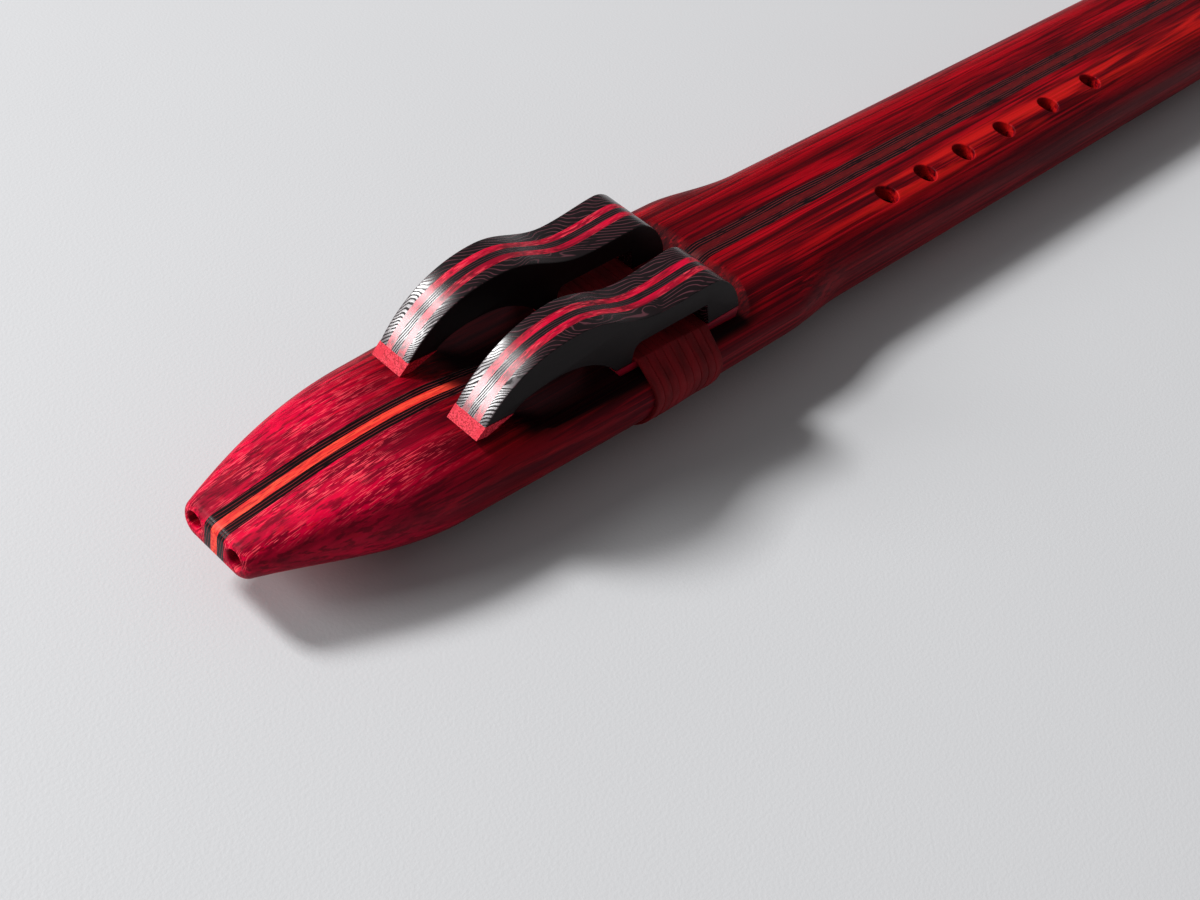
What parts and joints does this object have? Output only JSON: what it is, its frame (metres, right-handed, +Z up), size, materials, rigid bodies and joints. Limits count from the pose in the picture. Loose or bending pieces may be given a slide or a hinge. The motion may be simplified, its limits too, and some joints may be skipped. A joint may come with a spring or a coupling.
{
  "type": "native american flute",
  "caption": "Double native american flute: a drone beside a melody pipe in one laminated wooden body, with carved bird blocks tied down by a leather thong.",
  "frame": {"origin": "middle of the bounding box's underside, level with the lowest leather turns", "axes": "+X from the mouth end to the foot, +Y towards the drone pipe, +Z up through the birds"},
  "size_m": [0.55, 0.079, 0.0586],
  "materials": {
    "crimson_wood": "oiled satin, deep crimson with fine lighter pores along the grain",
    "wenge": "oiled satin, near black with fine brown lines",
    "padauk": "oiled satin, bright orange red",
    "leather": "soft matt, dark burgundy"
  },
  "bodies": {
    "flute_body": {"drone_plank_top": "crimson_wood", "drone_plank_bottom": "crimson_wood", "drone_wenge_top": "wenge", "drone_wenge_bottom": "wenge", "padauk_strip_top": "padauk", "padauk_strip_bottom": "padauk", "melody_wenge_top": "wenge", "melody_wenge_bottom": "wenge", "melody_plank_top": "crimson_wood", "melody_plank_bottom": "crimson_wood", "leather_tie": "leather"},
    "drone_bird": {"drone_bird_inner_cheek": "wenge", "drone_bird_inner_red": "crimson_wood", "drone_bird_core": "wenge", "drone_bird_outer_red": "crimson_wood", "drone_bird_outer_cheek": "wenge", "drone_bird_sole": "crimson_wood", "drone_bird_toe": "crimson_wood"},
    "melody_bird": {"melody_bird_inner_cheek": "wenge", "melody_bird_inner_red": "crimson_wood", "melody_bird_core": "wenge", "melody_bird_outer_red": "crimson_wood", "melody_bird_outer_cheek": "wenge", "melody_bird_sole": "crimson_wood", "melody_bird_toe": "crimson_wood"}
  },
  "joints": [
    {"name": "drone_bird_slide", "type": "slide", "parent": "flute_body", "child": "drone_bird", "axis": [1, 0, 0], "range_m": [-0.001, 0.001]},
    {"name": "melody_bird_slide", "type": "slide", "parent": "flute_body", "child": "melody_bird", "axis": [1, 0, 0], "range_m": [-0.001, 0.001]}
  ]
}
